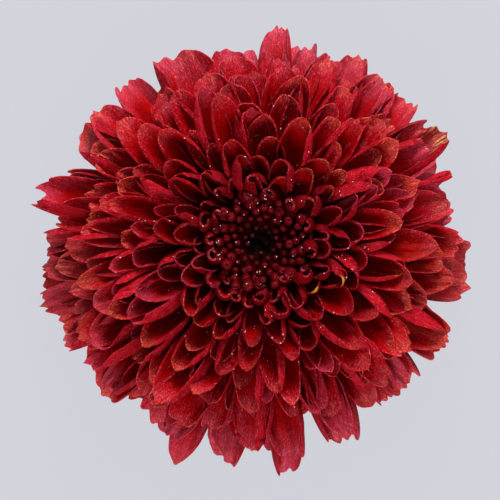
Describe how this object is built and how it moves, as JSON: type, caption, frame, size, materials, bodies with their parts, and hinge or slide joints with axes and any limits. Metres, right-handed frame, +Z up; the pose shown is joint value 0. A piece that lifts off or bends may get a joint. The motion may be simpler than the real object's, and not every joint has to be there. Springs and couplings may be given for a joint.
{
  "type": "pompon chrysanthemum flower head",
  "caption": "Double chrysanthemum flower head with spoon-shaped inner petals and toothed outer petals round a dark button centre, on a cup of bracts and a short cut stem.",
  "frame": {"origin": "under the middle of the head's outline, on the surface that the head lies on, at the level of the stem's cut end", "axes": "+Z up out of the open face of the flower, +Y towards the top of the picture"},
  "size_m": [0.0596, 0.0601, 0.0233],
  "materials": {
    "petal": "matte",
    "disc": "matte",
    "bract": "matte",
    "stem": "matte"
  },
  "bodies": {
    "root": {"stem": "stem", "bracts": "bract", "ray_florets": "petal", "disc_florets": "disc"}
  },
  "joints": []
}
